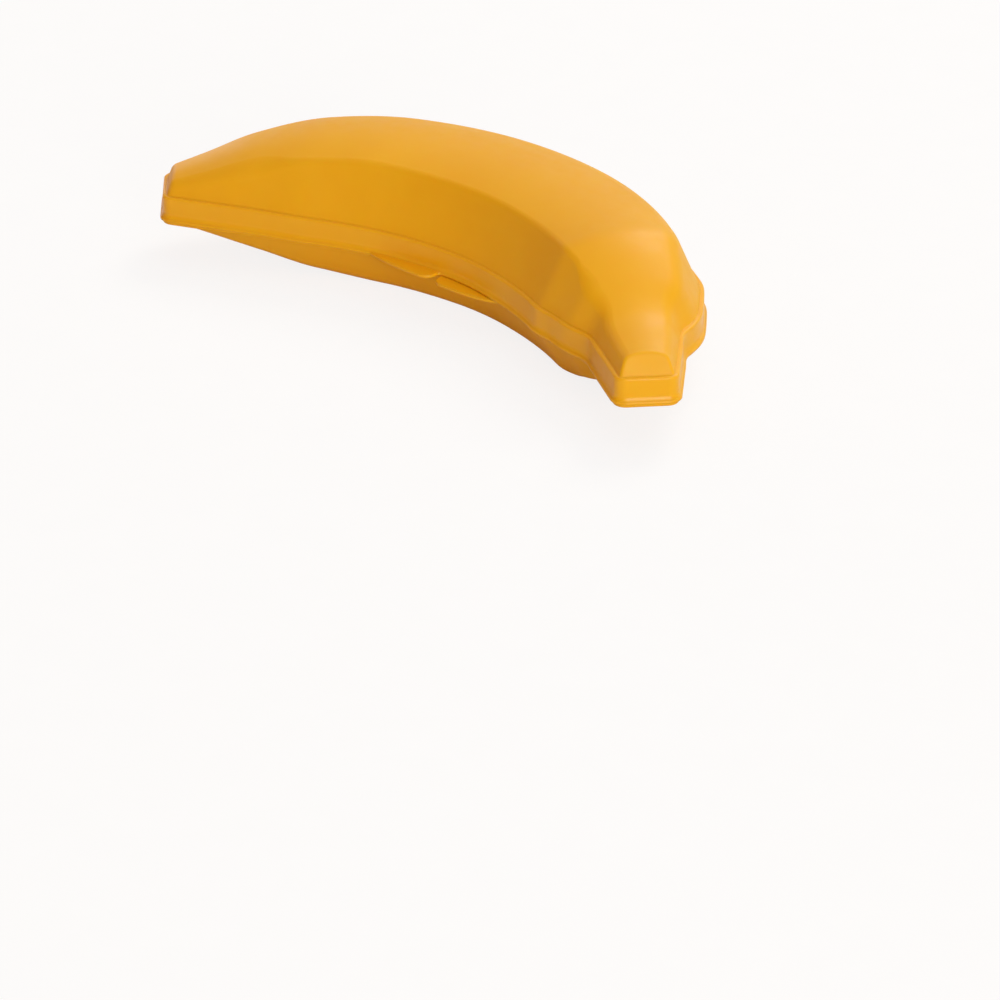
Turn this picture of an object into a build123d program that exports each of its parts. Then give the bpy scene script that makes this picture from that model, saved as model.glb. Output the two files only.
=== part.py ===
from build123d import *
import math
import os

# Banana storage box: a shallow base shell and a deep lid shell of moulded polypropylene,
# joined along the back of their outer curve by a thin bending film.
# Millimetres. +Z is up, the box stands on the flat of its base, X runs from the tip end
# to the stem end and -Y is the hollow side of the curve, where the finger tabs are.

# ---- middle line, seen from above: straight tip, three arcs, straight stem ----------------
TIP_RUN = 27.0
FORE_RADIUS, FORE_TURN = 161.0, 12.3
MID_RADIUS, MID_TURN = 131.0, 25.0
AFT_RADIUS, AFT_TURN = 119.5, 48.9
STEM_RUN = 37.2
TIP_HEADING = 43.0           # degrees from +X, going from the tip towards the stem
NECK_LENGTH = 35.0           # shoulder to stem root
STEM_LENGTH = 26.0           # stem root to stem end

# ---- plan widths, from the middle line to the foot of the lid's dome ----------------------
TIP_HALF_WIDTH = 9.1
BELLY_HALF_WIDTH = 30.8
SHOULDER_HALF_WIDTH = 28.5
STEM_ROOT_HALF_WIDTH = 13.9
STEM_END_HALF_WIDTH = 9.0
CORNER_RADIUS = 2.6          # plan corners of the dome's foot; wider outlines add to it

# ---- heights ------------------------------------------------------------------------------
BASE_DEPTH = 16.2            # rest face up to the top of the base's rim
TIP_DEPTH = 1.5
STEM_ROOT_DEPTH = 6.8
STEM_END_DEPTH = 1.6
BAND_HEIGHT = 9.1            # underside of the lid's lip up to the ledge round its dome
DOME_HEIGHT = 21.4           # ledge up to the dome's soft ridges, along the belly
TIP_DOME_HEIGHT = 4.0
STEM_ROOT_DOME_HEIGHT = 7.6
STEM_END_DOME_HEIGHT = 5.7

# ---- walls, steps and rounded edges -------------------------------------------------------
WALL = 1.4
RIM_THICKNESS = 1.1          # the base's rim, which the lid closes on
LIP_THICKNESS = 1.0          # the lid's flared lip
PARTING_GAP = 0.2            # between the closed rim and lip
LEDGE_WIDTH = 1.5
LIP_WIDTH = 1.05
LEDGE_EDGE_RADIUS = 0.7
LIP_EDGE_RADIUS = 0.45
FLARE_RISE = 2.0             # height over which the band's foot curves out to the lip
FLARE_ROOT = 0.1             # how far the flare's top is sunk in the band
DOME_SLOPE = 0.43            # sideways lean of the dome's walls, per mm of height
CROWN_RISE = 0.16            # rise of the crown over its ridges, per mm of half width
RIDGE_RADIUS = 18.0          # largest radius of the soft ridges along the dome
CRISP_RADIUS = 3.2           # of the inner ridge, where the dome is full
CRISP_FROM = 0.70            # shares of the dome's full height, over which
CRISP_FULL = 0.88            # the inner ridge sharpens
INNER_DROP = 0.04            # of the inner ridge below the outer one, as a share of the height
TIP_LEAN = 20.0              # degrees from upright, of the facet that ends the dome at the tip
TIP_END_RADIUS = 3.0         # round that facet
STEM_LEAN = 30.0             # degrees from upright, of the facet that ends the stem
STEM_END_RADIUS = 1.2        # round that facet
BASE_SLOPE = 0.44            # sideways lean of the base's walls, per mm of depth
BASE_SPREAD = 8.8            # more lean where the base is shallow, per mm of depth squared
BASE_EDGE_RADIUS = 9.0       # largest radius round the underside
BASE_END_RADIUS = 0.6        # round the base's upright ends
FLAT_TRIM = 0.3              # shaved off the lofted underside, which leaves the rest face flat

# ---- upstand of the base, inside the lid's band -------------------------------------------
BAND_CLEARANCE = 0.3
UPSTAND_DRAFT = 0.4          # how far the upstand leans in over its height
UPSTAND_TOP_GAP = 0.5
UPSTAND_TOP_THICKNESS = 0.7

# ---- finger tabs on the hollow side: the lid's towards the tip, the base's beside it ------
TAB_REACH = 6.3
LID_TAB_LENGTH = 41.5        # along the middle line
BASE_TAB_LENGTH = 37.5
TAB_GAP = 0.8
TAB_CENTRE_X = -4.5          # from the curve's apex
TAB_CORNER_RADIUS = 4.2
TAB_ROOT_RADIUS = 1.2
TAB_EDGE_RADIUS = 0.3
TAB_TAPER = 0.7              # share of a tab's length over which its edge curves back to the wall

# ---- bending film at the back -------------------------------------------------------------
HINGE_LENGTH = 44.0
HINGE_EDGE_STANDOUT = 0.3    # of the straight hinge edge from the curved lip
FILM_THICKNESS = 0.35

# ---- how the body fills out, as shares of the sizes above ---------------------------------
# (share of the way, share of the width's change, of the dome's, of the depth's)
BODY_FORM = (
    (0.00, 0.00, 0.00, 0.00),
    (0.07, 0.23, 0.24, 0.21),
    (0.16, 0.51, 0.59, 0.52),
    (0.285, 0.795, 0.88, 0.86),
    (0.43, 0.92, 1.00, 1.00),
    (0.61, 0.995, 1.00, 1.00),
    (0.77, 1.00, 1.00, 1.00),
)
NECK_FORM = (
    (0.00, 0.00, 0.00, 0.00),
    (0.23, 0.17, 0.11, 0.07),
    (0.40, 0.31, 0.28, 0.27),
    (0.54, 0.43, 0.45, 0.44),
    (0.69, 0.63, 0.64, 0.62),
    (0.83, 0.90, 0.82, 0.79),
    (1.00, 1.00, 1.00, 1.00),
)
STEM_FORM = (
    (0.35, 0.35, 0.65, 0.80),
    (1.00, 1.00, 1.00, 1.00),
)
SECTION_STEP = 4.0           # spacing of the sections that the shells are lofted through
OUTLINE_STEP = 6.0           # spacing of the points that the plan outlines pass through
END_STRAIGHT = 6.0           # straight part of each outline beside its end corners
END_ALLOWANCE = 1.5          # lofted past each end of the shells, and cut off by their facets

# ---- worked-out places --------------------------------------------------------------------
ARCS = ((FORE_RADIUS, FORE_TURN), (MID_RADIUS, MID_TURN), (AFT_RADIUS, AFT_TURN))
TOTAL_RUN = TIP_RUN + sum(r * math.radians(turn) for r, turn in ARCS) + STEM_RUN
STEM_ROOT = TOTAL_RUN - STEM_LENGTH
SHOULDER = STEM_ROOT - NECK_LENGTH
RIM_Z = BASE_DEPTH
LIP_Z = RIM_Z + PARTING_GAP
LEDGE_Z = LIP_Z + BAND_HEIGHT
LIP_OFFSET = LEDGE_WIDTH + LIP_WIDTH
LIP_TOP = LIP_Z + LIP_THICKNESS
RIM_UNDERSIDE = RIM_Z - RIM_THICKNESS
FILM_LOW = RIM_Z - RIM_THICKNESS / 2
FILM_HIGH = LIP_Z + LIP_THICKNESS / 2
FILM_RADIUS = (FILM_HIGH - FILM_LOW) / 2
UPSTAND_OFFSET = LEDGE_WIDTH - WALL - BAND_CLEARANCE
UPSTAND_TOP = LEDGE_Z - WALL - UPSTAND_TOP_GAP
UPSTAND_TOP_OFFSET = UPSTAND_OFFSET - UPSTAND_DRAFT


def between(low, high, share):
    return low + (high - low) * share


def stations():
    """The form's stations: place along the middle line, half width, dome height, depth."""
    rows = []
    for share, width, dome, depth in BODY_FORM:
        rows.append((
            share * SHOULDER,
            between(TIP_HALF_WIDTH, BELLY_HALF_WIDTH, width),
            between(TIP_DOME_HEIGHT, DOME_HEIGHT, dome),
            between(TIP_DEPTH, BASE_DEPTH, depth),
        ))
    for share, width, dome, depth in NECK_FORM:
        rows.append((
            SHOULDER + share * NECK_LENGTH,
            between(SHOULDER_HALF_WIDTH, STEM_ROOT_HALF_WIDTH, width),
            between(DOME_HEIGHT, STEM_ROOT_DOME_HEIGHT, dome),
            between(BASE_DEPTH, STEM_ROOT_DEPTH, depth),
        ))
    for share, width, dome, depth in STEM_FORM:
        rows.append((
            STEM_ROOT + share * STEM_LENGTH,
            between(STEM_ROOT_HALF_WIDTH, STEM_END_HALF_WIDTH, width),
            between(STEM_ROOT_DOME_HEIGHT, STEM_END_DOME_HEIGHT, dome),
            between(STEM_ROOT_DEPTH, STEM_END_DEPTH, depth),
        ))
    return rows


STATIONS = stations()


def smooth(column, place):
    """One column of the stations at any place, by a cubic that never overshoots them."""
    xs = [row[0] for row in STATIONS]
    ys = [row[column] for row in STATIONS]
    rates = [(ys[i + 1] - ys[i]) / (xs[i + 1] - xs[i]) for i in range(len(xs) - 1)]
    slopes = [rates[0]]
    for before, after in zip(rates, rates[1:]):
        level = before * after <= 0
        slopes.append(0.0 if level else 2 * before * after / (before + after))
    slopes.append(rates[-1])
    place = min(max(place, xs[0]), xs[-1])
    i = max(k for k in range(len(rates)) if xs[k] <= place)
    span = xs[i + 1] - xs[i]
    t = (place - xs[i]) / span
    rise = ys[i + 1] - ys[i]
    return (ys[i] + span * slopes[i] * t * (1 - t) ** 2 - span * slopes[i + 1] * t * t * (1 - t)
            + rise * t * t * (3 - 2 * t))


def half_width(place):
    return smooth(1, place)


def dome_height(place):
    return smooth(2, place)


def base_depth(place):
    return smooth(3, place)


def base_slope(place):
    return BASE_SLOPE + BASE_SPREAD / (base_depth(place) + FLAT_TRIM) ** 2


def left_of(direction):
    return Vector(-direction.Y, direction.X)


def middle_line():
    """The middle line's runs: start place, start point, heading in radians, radius or None."""
    heading = math.radians(TIP_HEADING)
    direction = Vector(math.cos(heading), math.sin(heading))
    place, point = TIP_RUN, direction * TIP_RUN
    runs = [(0.0, Vector(0, 0), heading, None)]
    for radius, turn in ARCS:
        runs.append((place, point, heading, radius))
        centre = point - left_of(direction) * radius
        heading -= math.radians(turn)
        direction = Vector(math.cos(heading), math.sin(heading))
        place += radius * math.radians(turn)
        point = centre + left_of(direction) * radius
    runs.append((place, point, heading, None))
    return runs


RUNS = middle_line()


def middle(place):
    """Point and unit direction of the middle line at a place along it."""
    start, point, heading, radius = [run for run in RUNS if run[0] <= max(place, 0.0)][-1]
    along = place - start
    if radius is None:
        direction = Vector(math.cos(heading), math.sin(heading))
        return point + direction * along, direction
    centre = point + Vector(math.sin(heading), -math.cos(heading)) * radius
    heading -= along / radius
    direction = Vector(math.cos(heading), math.sin(heading))
    return centre + left_of(direction) * radius, direction


def evenly(start, stop, step):
    count = max(2, math.ceil((stop - start) / step))
    return [between(start, stop, i / count) for i in range(count + 1)]


# ---- plan outlines ------------------------------------------------------------------------
def side_point(place, side, offset):
    """A point of the outline on one side (1 is the outer curve), and its direction there."""
    tiny = 0.01

    def foot(s):
        point, direction = middle(s)
        return point + left_of(direction) * (side * half_width(s))

    direction = (foot(place + tiny) - foot(place - tiny)).normalized()
    return foot(place) + left_of(direction) * (side * offset), direction


def crossing(point, direction, line_point, line_direction):
    """Where a line through one point meets another line."""
    normal = left_of(line_direction)
    return point + direction * ((line_point - point).dot(normal) / direction.dot(normal))


def corner_arc(corner, arriving, leaving, radius):
    """The arc that rounds the corner between two straight lines, with its two ends."""
    reach = radius * math.tan(math.radians(arriving.get_angle(leaving)) / 2)
    first, last = corner - arriving * reach, corner + leaving * reach
    return first, TangentArc(first, last, tangent=arriving), last


def outline(offset):
    """The box's plan outline at z = 0, offset outwards from the foot of the dome."""
    places = evenly(END_STRAIGHT, TOTAL_RUN - END_STRAIGHT, OUTLINE_STEP)
    outer = [side_point(s, 1, offset) for s in places]
    inner = [(p, d * -1) for p, d in (side_point(s, -1, offset) for s in reversed(places))]
    tip_point, tip_direction = middle(0)
    stem_point, stem_direction = middle(TOTAL_RUN)
    ends = (
        (stem_point + stem_direction * offset, left_of(stem_direction) * -1),
        (tip_point - tip_direction * offset, left_of(tip_direction)),
    )
    radius = CORNER_RADIUS + offset
    edges = []
    for run, (end_point, across), following in zip((outer, inner), ends, (inner, outer)):
        (first, start), (last, finish) = run[0], run[-1]
        after, onward = following[0]
        a, arc_a, b = corner_arc(crossing(last, finish, end_point, across), finish, across, radius)
        c, arc_c, d = corner_arc(crossing(after, onward, end_point, across), across, onward, radius)
        edges.append(Spline(*[point for point, _ in run], tangents=(start, finish)))
        edges += [Line(last, a), arc_a, Line(b, c), arc_c, Line(d, after)]
    return make_face(edges)


def slab(offset, bottom, top):
    """A plate of the plan outline between two levels."""
    return Pos(0, 0, bottom) * extrude(outline(offset), top - bottom)


# ---- cross-sections, square to the middle line ---------------------------------------------
def softened(radius, room):
    """A radius that eases off where there is little room for it."""
    return radius * room / (radius + room)


def ridge_radii(place):
    """Radii of the dome's outer and inner ridges; the inner one sharpens along the belly."""
    height = dome_height(place)
    soft = softened(RIDGE_RADIUS, height)
    share = (height / DOME_HEIGHT - CRISP_FROM) / (CRISP_FULL - CRISP_FROM)
    share = min(max(share, 0.0), 1.0)
    return soft, between(soft, CRISP_RADIUS, share * share * (3 - 2 * share))


def dome_section(place, inset, sink):
    """Section of the dome: leaning walls, a ridge on either side and a gently crowned top."""
    height = dome_height(place) - inset
    inner_height = dome_height(place) * (1 - INNER_DROP) - inset
    foot = half_width(place) - inset * math.hypot(1, DOME_SLOPE)
    low = foot + DOME_SLOPE * sink
    outer = (foot - DOME_SLOPE * height, height)
    inner = (DOME_SLOPE * inner_height - foot, inner_height)
    face = make_face([
        Line((-low, -sink), (low, -sink)),
        Line((low, -sink), outer),
        ThreePointArc(outer, (0, height + CROWN_RISE * outer[0]), inner),
        Line(inner, (-low, -sink)),
    ])
    for ridge, radius in zip((outer, inner), ridge_radii(place)):
        corner = face.vertices().sort_by_distance((*ridge, 0))[0]
        face = fillet(corner, max(radius - inset, inset / 4))
    return face


def base_section(place, inset, rise):
    """Section of the base: leaning walls and a flat underside, rounded where they meet."""
    depth = base_depth(place) - inset + FLAT_TRIM
    slope = base_slope(place)
    top = half_width(place) - inset * math.hypot(1, slope)
    bottom = top - slope * depth
    high = top + slope * rise
    face = make_face([
        Line((-high, rise), (-bottom, -depth)),
        Line((-bottom, -depth), (bottom, -depth)),
        Line((bottom, -depth), (high, rise)),
        Line((high, rise), (-high, rise)),
    ])
    radius = max(softened(BASE_EDGE_RADIUS, base_depth(place)) - inset, depth / 3)
    return fillet(face.vertices().sort_by(Axis.Y)[:2], radius)


def lofted(section, level, inset, reach, extra):
    """A solid through sections set square to the middle line, at a level."""
    sections = []
    for place in evenly(inset - extra, TOTAL_RUN - inset + extra, SECTION_STEP):
        point, direction = middle(place)
        plane = Plane(point + Vector(0, 0, level), x_dir=left_of(direction), z_dir=direction)
        sections.append(plane * section(place, inset, reach))
    return loft(sections)


# ---- shared forms --------------------------------------------------------------------------
def apex():
    """The middle line's furthest point from the hollow side, where it runs along X."""
    place, point, heading, radius = [run for run in RUNS if run[2] > 0][-1]
    return place + heading * radius


APEX = apex()
APEX_POINT = middle(APEX)[0]
HINGE_Y = APEX_POINT.Y + half_width(APEX) + LIP_OFFSET + HINGE_EDGE_STANDOUT


def hinge_bar(bottom, thickness, inner_offset):
    """Straight edge that the bending film grows from, outside the wall it stands on."""
    depth = 2 * LIP_OFFSET + HINGE_EDGE_STANDOUT
    centre = Pos(APEX_POINT.X, HINGE_Y - depth / 2, bottom + thickness / 2)
    bar = centre * Box(HINGE_LENGTH, depth, thickness)
    return bar - slab(inner_offset, bottom, bottom + thickness)


def finger_tab(side, length, bottom, thickness, edge_offset, inner_offset):
    """Thumb tab on the hollow side, towards the tip (side -1) or the stem (side 1)."""
    near = APEX_POINT.X + TAB_CENTRE_X + side * TAB_GAP / 2
    inside = APEX_POINT.Y - half_width(APEX)
    root = inside - edge_offset
    edge = root - TAB_REACH
    far, _ = side_point(APEX + TAB_CENTRE_X + side * length, -1, edge_offset - thickness / 2)
    level = near + side * 1.5 * TAB_CORNER_RADIUS
    foot = near - side * 2 * TAB_ROOT_RADIUS
    corners = [(level, edge), (near, edge), (near, root), (foot, root), (foot, inside)]
    corners += [(far.X, inside), (far.X, far.Y)]
    plan = make_face([
        Bezier((far.X, far.Y), (between(level, far.X, TAB_TAPER), edge), (level, edge)),
        *[Line(start, finish) for start, finish in zip(corners, corners[1:])],
    ])
    for corner, radius in (((near, edge), TAB_CORNER_RADIUS), ((near, root), TAB_ROOT_RADIUS)):
        plan = fillet(plan.vertices().sort_by_distance((*corner, 0))[0], radius)
    tab = Pos(0, 0, bottom) * extrude(plan, thickness)
    outer_face = tab.edges().group_by(Axis.Z)[-1 if side < 0 else 0]
    tab = fillet([edge for edge in outer_face if edge.center().Y < root], TAB_EDGE_RADIUS)
    return tab - slab(inner_offset, bottom, bottom + thickness)


# ---- lid -----------------------------------------------------------------------------------
def beyond_facet(place, outwards, lean, inset):
    """What lies beyond a facet across one end, leaning back from the foot of the dome."""
    point, direction = middle(place)
    tall = 3 * DOME_HEIGHT
    beyond = Rot(0, -lean, 0) * Pos(tall / 2, 0, 0) * Box(tall, tall, tall)
    back = inset / math.cos(math.radians(lean))
    start = point - direction * (outwards * back) + Vector(0, 0, LEDGE_Z)
    return Plane(start, x_dir=direction * outwards, z_dir=(0, 0, 1)) * beyond


def beyond_ends(inset):
    """What lies beyond both facets of the dome, or beyond ones set inwards from them."""
    tip = beyond_facet(0, -1, TIP_LEAN, inset)
    return tip + beyond_facet(TOTAL_RUN, 1, STEM_LEAN, inset)


def lid_dome():
    """Outside of the dome, with a rounded facet at each end."""
    dome = lofted(dome_section, LEDGE_Z, 0, WALL / 2, END_ALLOWANCE) - beyond_ends(0)
    for place, radius in ((0, TIP_END_RADIUS), (TOTAL_RUN, STEM_END_RADIUS)):
        facet = dome.faces().sort_by_distance(middle(place)[0] + Vector(0, 0, LEDGE_Z))[0]
        dome = fillet([edge for edge in facet.edges() if edge.center().Z > LEDGE_Z], radius)
    return dome


def lid_band():
    """Upright band below the ledge, flared out to the lip that closes on the base's rim."""
    block = slab(LEDGE_WIDTH, LIP_Z, LEDGE_Z)
    block = fillet(block.edges().group_by(Axis.Z)[-1], LEDGE_EDGE_RADIUS)
    lip = slab(LIP_OFFSET, LIP_Z, LIP_TOP)
    lip = fillet(lip.edges().group_by(Axis.Z)[-1], LIP_EDGE_RADIUS)
    flare_width = LIP_WIDTH - LIP_EDGE_RADIUS
    flare = loft([
        Pos(0, 0, between(LIP_TOP, LIP_TOP + FLARE_RISE, share)) * outline(
            LEDGE_WIDTH + flare_width * (1 - share) ** 2 - FLARE_ROOT * share)
        for share in (0, 0.2, 0.4, 0.7, 1)
    ], ruled=True)
    return block + lip + flare


def lid_shell():
    solid = lid_dome() + lid_band()
    inside_wall = LEDGE_WIDTH - WALL / 2
    solid += hinge_bar(LIP_Z, LIP_THICKNESS, inside_wall)
    solid += finger_tab(-1, LID_TAB_LENGTH, LIP_Z, LIP_THICKNESS, LIP_OFFSET, inside_wall)
    solid -= slab(LEDGE_WIDTH - WALL, LIP_Z, LEDGE_Z - WALL)
    hollow = lofted(dome_section, LEDGE_Z, WALL, 1.5 * WALL, END_ALLOWANCE)
    return solid - (hollow - beyond_ends(WALL))


# ---- base ----------------------------------------------------------------------------------
def base_shell():
    body = lofted(base_section, RIM_Z, 0, 0, END_ALLOWANCE)
    body -= beyond_facet(0, -1, 0, 0) + beyond_facet(TOTAL_RUN, 1, 0, 0)
    for place in (0, TOTAL_RUN):
        end_point = middle(place)[0] + Vector(0, 0, RIM_Z - base_depth(place) / 2)
        end = body.faces().sort_by_distance(end_point)[0]
        body = fillet(end.edges().sort_by(Axis.Z)[:-1], BASE_END_RADIUS)
    rim = slab(LEDGE_WIDTH, RIM_UNDERSIDE, RIM_Z)
    upstand = loft([
        Pos(0, 0, RIM_Z) * outline(UPSTAND_OFFSET),
        Pos(0, 0, UPSTAND_TOP) * outline(UPSTAND_TOP_OFFSET),
    ], ruled=True)
    solid = body + rim + upstand
    solid += hinge_bar(RIM_UNDERSIDE, RIM_THICKNESS, 0)
    solid += finger_tab(1, BASE_TAB_LENGTH, RIM_UNDERSIDE, RIM_THICKNESS, LEDGE_WIDTH, 0)
    solid -= slab(UPSTAND_TOP_OFFSET - UPSTAND_TOP_THICKNESS, RIM_Z, UPSTAND_TOP)
    solid -= lofted(base_section, RIM_Z, WALL, 0, 0)
    underside = Rectangle(3 * TOTAL_RUN, 3 * TOTAL_RUN)
    return solid - Pos(APEX_POINT) * extrude(underside, -BASE_DEPTH)


# ---- bending film --------------------------------------------------------------------------
def hinge_film():
    """Thin C-shaped strip from the rim's hinge edge round to the lip's."""
    ring = Circle(FILM_RADIUS + FILM_THICKNESS / 2) - Circle(FILM_RADIUS - FILM_THICKNESS / 2)
    half = ring & Pos(FILM_RADIUS, 0) * Rectangle(2 * FILM_RADIUS, 4 * FILM_RADIUS)
    start = (APEX_POINT.X - HINGE_LENGTH / 2, HINGE_Y, FILM_LOW + FILM_RADIUS)
    return extrude(Plane(start, x_dir=(0, 1, 0), z_dir=(1, 0, 0)) * half, HINGE_LENGTH)


# ---- assembly ------------------------------------------------------------------------------
pieces = {"base_shell": base_shell(), "lid_shell": lid_shell(), "hinge_film": hinge_film()}
box = Compound(list(pieces.values())).bounding_box()
to_origin = Pos(-box.center().X, -box.center().Y)
os.makedirs("parts", exist_ok=True)
for name, piece in pieces.items():
    export_step(to_origin * piece, f"parts/{name}.step")
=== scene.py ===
import math

import bpy
from mathutils import Matrix, Vector


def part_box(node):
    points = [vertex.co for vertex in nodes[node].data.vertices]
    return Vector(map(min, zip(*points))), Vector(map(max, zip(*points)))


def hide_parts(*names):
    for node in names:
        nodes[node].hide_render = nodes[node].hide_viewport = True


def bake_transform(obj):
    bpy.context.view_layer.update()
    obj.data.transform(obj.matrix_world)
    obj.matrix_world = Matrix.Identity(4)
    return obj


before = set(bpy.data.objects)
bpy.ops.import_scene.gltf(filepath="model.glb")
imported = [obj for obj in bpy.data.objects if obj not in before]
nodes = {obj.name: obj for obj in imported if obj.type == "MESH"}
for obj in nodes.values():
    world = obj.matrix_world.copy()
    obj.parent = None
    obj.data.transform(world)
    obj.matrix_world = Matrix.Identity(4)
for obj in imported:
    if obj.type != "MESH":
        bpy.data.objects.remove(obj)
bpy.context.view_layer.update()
scene = bpy.context.scene

# ---- levels of the box, in metres ---------------------------------------------------------
RIM_UNDERSIDE = 0.0151
LIP_UNDERSIDE = 0.0164
LEDGE = 0.0255


# ---- node helpers -------------------------------------------------------------------------
def new_material(name):
    mat = bpy.data.materials.new(name)
    mat.use_nodes = True
    tree = mat.node_tree
    tree.nodes.clear()
    out = tree.nodes.new("ShaderNodeOutputMaterial")
    return mat, tree, out


def math_node(tree, operation, a, b=None, clamp=False):
    node = tree.nodes.new("ShaderNodeMath")
    node.operation = operation
    node.use_clamp = clamp
    for socket, value in zip(node.inputs, (a, b)):
        if value is None:
            continue
        if isinstance(value, (int, float)):
            socket.default_value = value
        else:
            tree.links.new(value, socket)
    return node.outputs[0]


def mapped(tree, scale, rotation=(0, 0, 0)):
    coords = tree.nodes.new("ShaderNodeTexCoord")
    mapping = tree.nodes.new("ShaderNodeMapping")
    mapping.inputs["Scale"].default_value = scale
    mapping.inputs["Rotation"].default_value = rotation
    tree.links.new(coords.outputs["Object"], mapping.inputs["Vector"])
    return mapping.outputs["Vector"]


def noise(tree, vector, scale, detail=2.0, roughness=0.5, distortion=0.0):
    node = tree.nodes.new("ShaderNodeTexNoise")
    node.inputs["Scale"].default_value = scale
    node.inputs["Detail"].default_value = detail
    node.inputs["Roughness"].default_value = roughness
    node.inputs["Distortion"].default_value = distortion
    tree.links.new(vector, node.inputs["Vector"])
    return node.outputs["Fac"]


def ramp(tree, value, low, high, out_low=0.0, out_high=1.0):
    node = tree.nodes.new("ShaderNodeMapRange")
    node.clamp = True
    ends = {"From Min": low, "From Max": high, "To Min": out_low, "To Max": out_high}
    for name, number in ends.items():
        node.inputs[name].default_value = number
    tree.links.new(value, node.inputs["Value"])
    return node.outputs["Result"]


def mix_colour(tree, factor, a, b):
    node = tree.nodes.new("ShaderNodeMix")
    node.data_type = "RGBA"
    if isinstance(factor, (int, float)):
        node.inputs[0].default_value = factor
    else:
        tree.links.new(factor, node.inputs[0])
    for socket, value in ((node.inputs[6], a), (node.inputs[7], b)):
        if isinstance(value, tuple):
            socket.default_value = (*value, 1.0)
        else:
            tree.links.new(value, socket)
    return node.outputs[2]


def inverse(tree, value):
    return math_node(tree, "SUBTRACT", 1.0, value)


def height_above(tree, level, spread):
    """1 above a level of the piece, 0 below it, in the piece's own coordinates."""
    coords = tree.nodes.new("ShaderNodeTexCoord")
    split = tree.nodes.new("ShaderNodeSeparateXYZ")
    tree.links.new(coords.outputs["Object"], split.inputs[0])
    return ramp(tree, split.outputs["Z"], level - spread, level + spread)


# ---- moulded plastic ----------------------------------------------------------------------
YELLOW = (0.84, 0.418, 0.004)
DEEP_YELLOW = (0.82, 0.390, 0.003)
PALE_YELLOW = (0.86, 0.463, 0.020)
SCUFF_YELLOW = (0.86, 0.56, 0.14)
FLOW_SHARE = 0.20               # of the pale colour, in the streaks of flow
SCUFF_SHARE = 0.30              # of the scuffs' colour
SCUFFED_LEVEL = 0.043           # scuffs lie above this, on the dome's top
SCUFFED_FADE = 0.004
RIM_FADE = 0.0003               # half the height over which the grain gives way to the rim
ROUGHNESS = (0.40, 0.50)
RIM_POLISH = 0.12               # off the roughness, on the smooth rim
SCUFF_ROUGHNESS = 0.12          # added to it, on scuffs
IOR = 1.49
SPECULAR_LEVEL = 0.3
SCATTER_SHARE = 0.18
SCATTER_RADIUS = (1.0, 0.35, 0.06)
SCATTER_DEPTH = 0.0022
EDGE_SAMPLES = 6
EDGE_RADIUS = 0.0009            # over which the shading of sharp edges is eased
GRAIN_STRENGTH = 0.35
GRAIN_DEPTH = 0.00003
RIPPLE_STRENGTH = 0.25
RIPPLE_DEPTH = 0.00010


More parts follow.
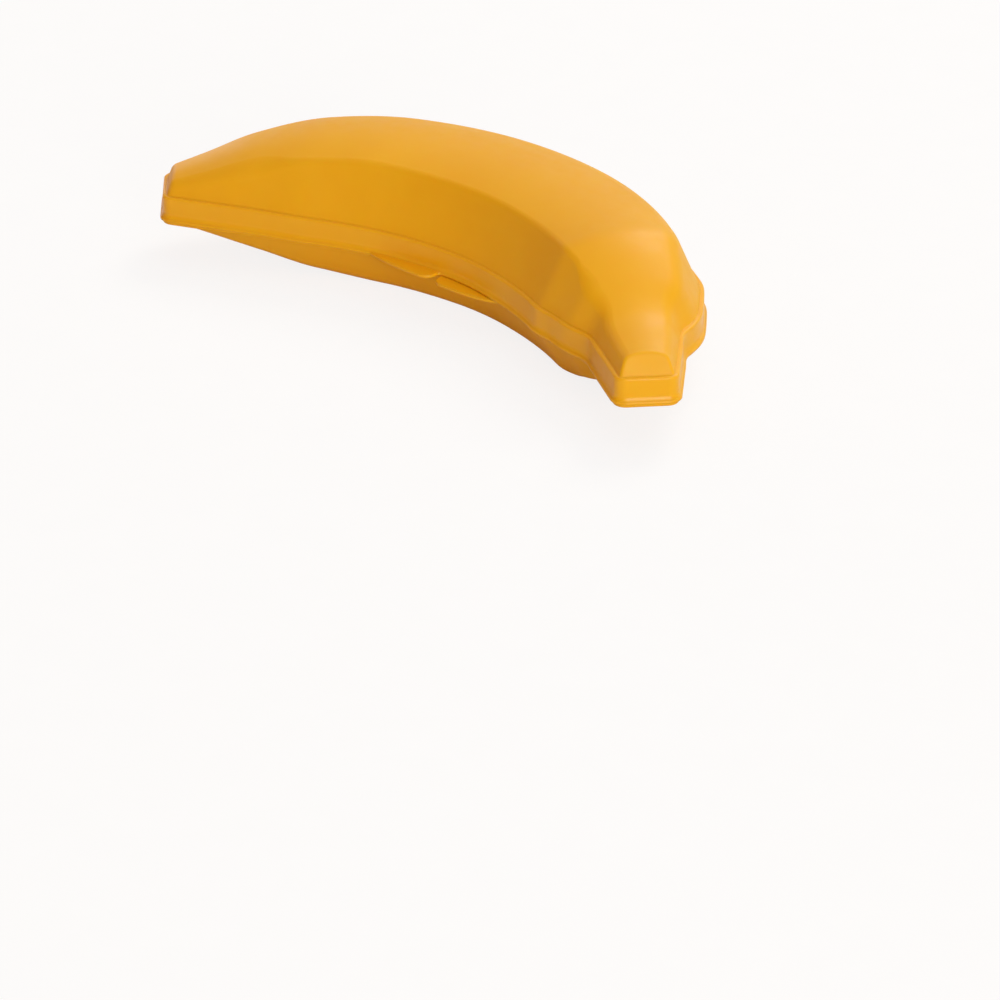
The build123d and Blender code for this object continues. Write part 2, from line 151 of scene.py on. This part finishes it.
def plastic(name, smooth_from, smooth_to):
    """Satin moulded plastic: finely grained, but smoother and without grain between two
    levels, with soft clouding of the colour and faint scuffs on the dome's top."""
    mat, tree, out = new_material(name)
    links = tree.links
    shader = tree.nodes.new("ShaderNodeBsdfPrincipled")
    links.new(shader.outputs[0], out.inputs["Surface"])

    smooth_rim = math_node(
        tree, "MULTIPLY", height_above(tree, smooth_from, RIM_FADE),
        inverse(tree, height_above(tree, smooth_to, RIM_FADE)))
    grained = inverse(tree, smooth_rim)

    clouds = noise(tree, mapped(tree, (1, 1, 1)), 28.0, 3.0, 0.55)
    flow = noise(tree, mapped(tree, (9, 26, 30), (0, 0, 0.35)), 3.0, 4.0, 0.6, 0.6)
    colour = mix_colour(tree, ramp(tree, clouds, 0.35, 0.68), DEEP_YELLOW, YELLOW)
    streaks = ramp(tree, flow, 0.52, 0.8, 0.0, FLOW_SHARE)
    colour = mix_colour(tree, streaks, colour, PALE_YELLOW)

    scuff = noise(tree, mapped(tree, (70, 900, 900), (0, 0, 0.9)), 1.4, 3.0, 0.7)
    patch = noise(tree, mapped(tree, (1, 1, 1)), 17.0, 1.0, 0.4)
    on_top = height_above(tree, SCUFFED_LEVEL, SCUFFED_FADE)
    scuffed = math_node(
        tree, "MULTIPLY", ramp(tree, scuff, 0.67, 0.74),
        math_node(tree, "MULTIPLY", ramp(tree, patch, 0.52, 0.66), on_top))
    scuff_mix = math_node(tree, "MULTIPLY", scuffed, SCUFF_SHARE)
    colour = mix_colour(tree, scuff_mix, colour, SCUFF_YELLOW)
    links.new(colour, shader.inputs["Base Color"])

    dust = noise(tree, mapped(tree, (1, 1, 1)), 160.0, 2.0, 0.6)
    rough = ramp(tree, dust, 0.3, 0.7, *ROUGHNESS)
    polish = math_node(tree, "MULTIPLY", smooth_rim, RIM_POLISH)
    rough = math_node(tree, "SUBTRACT", rough, polish)
    scratch = math_node(tree, "MULTIPLY", scuffed, SCUFF_ROUGHNESS)
    rough = math_node(tree, "ADD", rough, scratch, clamp=True)
    links.new(rough, shader.inputs["Roughness"])
    shader.inputs["IOR"].default_value = IOR
    shader.inputs["Specular IOR Level"].default_value = SPECULAR_LEVEL
    shader.inputs["Subsurface Weight"].default_value = SCATTER_SHARE
    shader.inputs["Subsurface Radius"].default_value = SCATTER_RADIUS
    shader.inputs["Subsurface Scale"].default_value = SCATTER_DEPTH

    grain = noise(tree, mapped(tree, (1, 1, 1)), 2600.0, 2.0, 0.6)
    ripple = noise(tree, mapped(tree, (1, 1, 1)), 90.0, 2.0, 0.5)
    eased = tree.nodes.new("ShaderNodeBevel")
    eased.samples = EDGE_SAMPLES
    eased.inputs["Radius"].default_value = EDGE_RADIUS
    fine = tree.nodes.new("ShaderNodeBump")
    fine.inputs["Strength"].default_value = GRAIN_STRENGTH
    fine.inputs["Distance"].default_value = GRAIN_DEPTH
    links.new(math_node(tree, "MULTIPLY", grain, grained), fine.inputs["Height"])
    links.new(eased.outputs["Normal"], fine.inputs["Normal"])
    broad = tree.nodes.new("ShaderNodeBump")
    broad.inputs["Strength"].default_value = RIPPLE_STRENGTH
    broad.inputs["Distance"].default_value = RIPPLE_DEPTH
    links.new(math_node(tree, "MULTIPLY", ripple, grained), broad.inputs["Height"])
    links.new(fine.outputs[0], broad.inputs["Normal"])
    links.new(broad.outputs[0], shader.inputs["Normal"])
    return mat


# The lid is smooth from its lip to its ledge, the base from its rim upwards.
BELOW_LIP = 0.001
OVER_LEDGE = 0.0002
BELOW_RIM = 0.0006
OVER_UPSTAND = 0.030
lid_plastic = plastic("lid_plastic", LIP_UNDERSIDE - BELOW_LIP, LEDGE + OVER_LEDGE)
base_plastic = plastic("base_plastic", RIM_UNDERSIDE - BELOW_RIM, OVER_UPSTAND)

FILM_ROUGHNESS = (0.28, 0.40)
FILM_SCATTER_SHARE = 0.3
FILM_SCATTER_RADIUS = (1.0, 0.4, 0.06)
FILM_SCATTER_DEPTH = 0.001


def film_material():
    """The bending film: the same plastic, paler where it is thin and has been flexed."""
    mat, tree, out = new_material("film_plastic")
    shader = tree.nodes.new("ShaderNodeBsdfPrincipled")
    tree.links.new(shader.outputs[0], out.inputs["Surface"])
    crease = noise(tree, mapped(tree, (30, 900, 900)), 2.0, 2.0, 0.5)
    colour = mix_colour(tree, ramp(tree, crease, 0.4, 0.7), YELLOW, PALE_YELLOW)
    tree.links.new(colour, shader.inputs["Base Color"])
    rough = ramp(tree, crease, 0.3, 0.7, *FILM_ROUGHNESS)
    tree.links.new(rough, shader.inputs["Roughness"])
    shader.inputs["Subsurface Weight"].default_value = FILM_SCATTER_SHARE
    shader.inputs["Subsurface Radius"].default_value = FILM_SCATTER_RADIUS
    shader.inputs["Subsurface Scale"].default_value = FILM_SCATTER_DEPTH
    return mat


def paint(obj, material):
    obj.data.materials.clear()
    obj.data.materials.append(material)


paint(nodes["lid_shell"], lid_plastic)
paint(nodes["base_shell"], base_plastic)

# ---- bending film -------------------------------------------------------------------------
# A thin strip that runs from the rim's straight edge round to the lip's, thinnest at the
# middle of its bend and narrowed a little at its two ends.
FILM_ARC_STEPS = 16
FILM_LENGTH_STEPS = 44
FILM_THICKNESS = 0.00035
FILM_THINNING = 0.25            # share of the thickness lost at the middle of the bend
END_INSET = 0.00035             # how far the bend is drawn in at its two ends
END_FADE = 0.0006               # length over which that fades
low, high = (Vector(corner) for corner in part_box("hinge_film"))
film_root_y = low.y
film_middle_z = (low.z + high.z) / 2
film_outer = (high.z - low.z) / 2
film_mid = film_outer - FILM_THICKNESS / 2


def film_mesh():
    verts, faces = [], []
    for i in range(FILM_LENGTH_STEPS + 1):
        along = i / FILM_LENGTH_STEPS
        from_end = min(along, 1 - along) * (high.x - low.x)
        x = low.x + (high.x - low.x) * along
        inset = END_INSET * math.exp(-from_end / END_FADE)
        for inner in (False, True):
            for j in range(FILM_ARC_STEPS + 1):
                turn = math.pi * j / FILM_ARC_STEPS
                half = FILM_THICKNESS / 2 * (1 - FILM_THINNING * math.sin(turn) ** 2)
                radius = film_mid + (-half if inner else half) - inset * math.sin(turn) ** 2
                y = film_root_y + max(radius * math.sin(turn), 0.0)
                verts.append((x, y, film_middle_z - radius * math.cos(turn)))
    row = FILM_ARC_STEPS + 1
    ring = 2 * row
    for i in range(FILM_LENGTH_STEPS):
        a, b = i * ring, (i + 1) * ring
        for j in range(FILM_ARC_STEPS):
            faces.append((a + j, a + j + 1, b + j + 1, b + j))
            faces.append((a + row + j + 1, a + row + j, b + row + j, b + row + j + 1))
        faces.append((a + row, a, b, b + row))
        faces.append((a + row - 1, a + ring - 1, b + ring - 1, b + row - 1))
    for a, flip in ((0, False), (FILM_LENGTH_STEPS * ring, True)):
        for j in range(FILM_ARC_STEPS):
            face = (a + j, a + row + j, a + row + j + 1, a + j + 1)
            faces.append(face[::-1] if flip else face)
    mesh = bpy.data.meshes.new("film_strip")
    mesh.from_pydata(verts, [], faces)
    mesh.validate()
    mesh.update()
    for polygon in mesh.polygons:
        polygon.use_smooth = True
    return mesh


film = bpy.data.objects.new("film_strip", film_mesh())
scene.collection.objects.link(film)
paint(film, film_material())
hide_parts("hinge_film")
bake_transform(film)

# ---- floor --------------------------------------------------------------------------------
# A pale floor that reads as white paper to the camera, with the box's soft shadow kept.
# The light that it throws back is a little warm.
FLOOR_GLOW = 0.84               # share of plain white in what the camera sees
FLOOR_SHADES = ((0.85, 0.80, 0.73), (0.88, 0.83, 0.76))
FLOOR_HALF = 6.0
FLOOR_DROP = 0.00005            # below the rest face, so that the two don't coincide


def floor_material():
    mat, tree, out = new_material("pale_floor")
    path = tree.nodes.new("ShaderNodeLightPath")
    seen = path.outputs["Is Camera Ray"]
    fibre = noise(tree, mapped(tree, (1, 1, 1)), 60.0, 3.0, 0.6)
    lit = tree.nodes.new("ShaderNodeBsdfDiffuse")
    tree.links.new(
        mix_colour(tree, ramp(tree, fibre, 0.3, 0.7), *FLOOR_SHADES),
        lit.inputs["Color"])
    glow = tree.nodes.new("ShaderNodeEmission")
    glow.inputs["Color"].default_value = (1, 1, 1, 1)
    glow.inputs["Strength"].default_value = 1.0
    shaded = tree.nodes.new("ShaderNodeMixShader")
    tree.links.new(math_node(tree, "MULTIPLY", seen, FLOOR_GLOW), shaded.inputs["Fac"])
    tree.links.new(lit.outputs[0], shaded.inputs[1])
    tree.links.new(glow.outputs[0], shaded.inputs[2])
    tree.links.new(shaded.outputs[0], out.inputs["Surface"])
    return mat


floor_mesh = bpy.data.meshes.new("floor")
floor_mesh.from_pydata(
    [(x * FLOOR_HALF, y * FLOOR_HALF, 0) for x, y in ((-1, -1), (1, -1), (1, 1), (-1, 1))],
    [], [(0, 1, 2, 3)])
floor = bpy.data.objects.new("floor", floor_mesh)
scene.collection.objects.link(floor)
floor.location.z = -FLOOR_DROP
paint(floor, floor_material())

# ---- light --------------------------------------------------------------------------------
# Soft light from the stem's side, from above and from behind, and a little from the tip's side.
# The wall on the hollow side near the neck faces the dimmer, warmer side of the surround.
SKY_LOW = 0.032                 # at the horizon
SKY_HIGH = 1.030                # overhead
SKY_REFLECTED = 0.8             # all round, in reflections
WARM_SIDE = (-0.70, -0.70, 0.14)    # where the surround is dimmer and warmer
WARM_SPREAD = (0.15, 0.75)      # of the facing, from none of the warm shade to all of it
WARM_SHADE = (0.66, 0.31, 0.26)
WHITE = (1.0, 1.0, 1.0)
world = bpy.data.worlds.new("studio")
scene.world = world
world.use_nodes = True
tree = world.node_tree
tree.nodes.clear()
world_out = tree.nodes.new("ShaderNodeOutputWorld")
path = tree.nodes.new("ShaderNodeLightPath")
sky = tree.nodes.new("ShaderNodeBackground")
coords = tree.nodes.new("ShaderNodeTexCoord")
direction = tree.nodes.new("ShaderNodeSeparateXYZ")
tree.links.new(coords.outputs["Generated"], direction.inputs[0])
ambient = ramp(tree, direction.outputs["Z"], 0.0, 1.0, SKY_LOW, SKY_HIGH)
reflected = path.outputs["Is Glossy Ray"]
strength = math_node(
    tree, "ADD",
    math_node(tree, "MULTIPLY", reflected, SKY_REFLECTED),
    math_node(tree, "MULTIPLY", inverse(tree, reflected), ambient))
# The camera sees it plain white, whatever light it gives.
seen = path.outputs["Is Camera Ray"]
unseen = inverse(tree, seen)
strength = math_node(tree, "ADD", seen, math_node(tree, "MULTIPLY", unseen, strength))
facing = tree.nodes.new("ShaderNodeVectorMath")
facing.operation = "DOT_PRODUCT"
facing.inputs[1].default_value = WARM_SIDE
tree.links.new(coords.outputs["Generated"], facing.inputs[0])
warmth = math_node(
    tree, "MULTIPLY", ramp(tree, facing.outputs["Value"], *WARM_SPREAD), unseen)
tree.links.new(mix_colour(tree, warmth, WHITE, WARM_SHADE), sky.inputs["Color"])
tree.links.new(strength, sky.inputs["Strength"])
tree.links.new(sky.outputs[0], world_out.inputs["Surface"])


def softbox(name, place, size, power):
    data = bpy.data.lights.new(name, "AREA")
    data.shape = "RECTANGLE"
    data.size, data.size_y = size
    data.energy = power
    lamp = bpy.data.objects.new(name, data)
    scene.collection.objects.link(lamp)
    lamp.location = place
    towards = Vector(BOX_CENTRE) - Vector(place)
    lamp.rotation_euler = towards.to_track_quat("-Z", "Y").to_euler()


BOX_CENTRE = (0.0, 0.0, 0.02)
softbox("key", place=(1.80, -1.00, 0.60), size=(0.9, 0.9), power=21.0)
softbox("back", place=(-0.20, 1.40, 1.60), size=(0.9, 0.9), power=17.0)
softbox("rim_left", place=(-2.10, 0.75, 0.35), size=(0.9, 0.35), power=4.0)

# ---- camera -------------------------------------------------------------------------------
# Looks along the photo's line of sight, with its long lens.
CAMERA_PLACE = (0.93789, -1.05045, 0.70254)
CAMERA_AZIMUTH = math.radians(41.457)
CAMERA_PITCH = math.radians(29.027)
SENSOR_WIDTH = 36.0
LENS = 162.0
CAMERA_REACH = 50.0
camera_data = bpy.data.cameras.new("camera")
camera_data.sensor_width = SENSOR_WIDTH
camera_data.lens = LENS
camera_data.clip_end = CAMERA_REACH
camera = bpy.data.objects.new("camera", camera_data)
scene.collection.objects.link(camera)
camera.matrix_world = (
    Matrix.Translation(CAMERA_PLACE)
    @ Matrix.Rotation(CAMERA_AZIMUTH, 4, "Z")
    @ Matrix.Rotation(math.pi / 2 - CAMERA_PITCH, 4, "X"))
scene.camera = camera

scene.view_settings.view_transform = "Standard"
